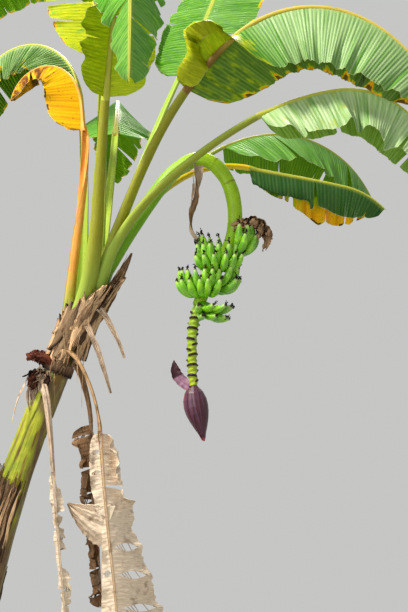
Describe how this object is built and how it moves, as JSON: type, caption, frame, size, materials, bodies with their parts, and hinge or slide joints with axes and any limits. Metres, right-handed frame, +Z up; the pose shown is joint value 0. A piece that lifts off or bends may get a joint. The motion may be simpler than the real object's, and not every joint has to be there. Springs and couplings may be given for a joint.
{
  "type": "banana plant",
  "caption": "Tall banana plant with a leaning stem, long arching leaves, withered leaves that hang down it, and a bunch of green fruit on a bent stalk that ends in a purple flower bud.",
  "frame": {"origin": "centre of the flat cut under the false stem, at ground level", "axes": "+Z up, +X to the side the stem leans and the bunch hangs, +Y to the back, away from the pictured side"},
  "size_m": [2.6095, 2.9048, 4.4887],
  "materials": {
    "stem": "satin",
    "leaf_stalk": "satin",
    "fruit_stalk": "satin",
    "leaf": "satin",
    "dying_leaf": "satin",
    "dry_leaf": "matte",
    "dry_sheath": "matte",
    "fruit": "satin",
    "bud": "satin"
  },
  "bodies": {
    "root": {"pseudostem": "stem", "fruit_stalk_rise": "fruit_stalk", "fruit_stalk_drop": "fruit_stalk", "bunch_axis": "fruit_stalk", "bare_rachis": "fruit_stalk", "flower_bud": "bud", "bud_bract": "bud", "hand_1": "fruit", "hand_2": "fruit", "hand_3": "fruit", "hand_4": "fruit", "hand_5": "fruit", "hand_6": "fruit", "leaf_1_stalk": "leaf_stalk", "leaf_2_stalk": "leaf_stalk", "leaf_3_stalk": "leaf_stalk", "leaf_4_stalk": "leaf_stalk", "leaf_5_stalk": "leaf_stalk", "leaf_6_stalk": "leaf_stalk", "leaf_7_stalk": "leaf_stalk", "leaf_8_stalk": "leaf_stalk", "leaf_9_stalk": "leaf_stalk", "leaf_10_stalk": "leaf_stalk", "leaf_1_blade_inner": "dying_leaf", "leaf_1_blade_outer": "dying_leaf", "leaf_2_blade_inner": "leaf", "leaf_2_blade_outer": "leaf", "leaf_3_blade_inner": "leaf", "leaf_3_blade_outer": "leaf", "leaf_4_blade_inner": "leaf", "leaf_4_blade_outer": "leaf", "leaf_5_blade_inner": "leaf", "leaf_5_blade_outer": "leaf", "leaf_6_blade_inner": "leaf", "leaf_6_blade_outer": "leaf", "leaf_7_blade_inner": "leaf", "leaf_7_blade_outer": "leaf", "leaf_8_blade_inner": "leaf", "leaf_8_blade_outer": "leaf", "leaf_9_blade_inner": "leaf", "leaf_9_blade_outer": "leaf", "leaf_10_blade_inner": "leaf", "leaf_10_blade_outer": "leaf", "dry_bract_strap": "dry_leaf", "dry_bract_cap": "dry_sheath", "dry_leaf_1_stalk": "dry_leaf", "dry_leaf_1_blade": "dry_leaf", "dry_leaf_2_stalk": "dry_leaf", "dry_leaf_2_blade": "dry_leaf", "dry_leaf_3_stalk": "dry_sheath", "dry_leaf_3_blade": "dry_sheath", "dry_stalk_1": "dry_leaf", "dry_stalk_2": "dry_leaf", "torn_sheath_1": "dry_sheath", "torn_sheath_2": "dry_sheath", "cut_stub": "dry_sheath", "dry_sheath_1": "dry_sheath", "dry_sheath_2": "dry_sheath", "dry_sheath_3": "dry_sheath", "dry_sheath_4": "dry_sheath"}
  },
  "joints": []
}
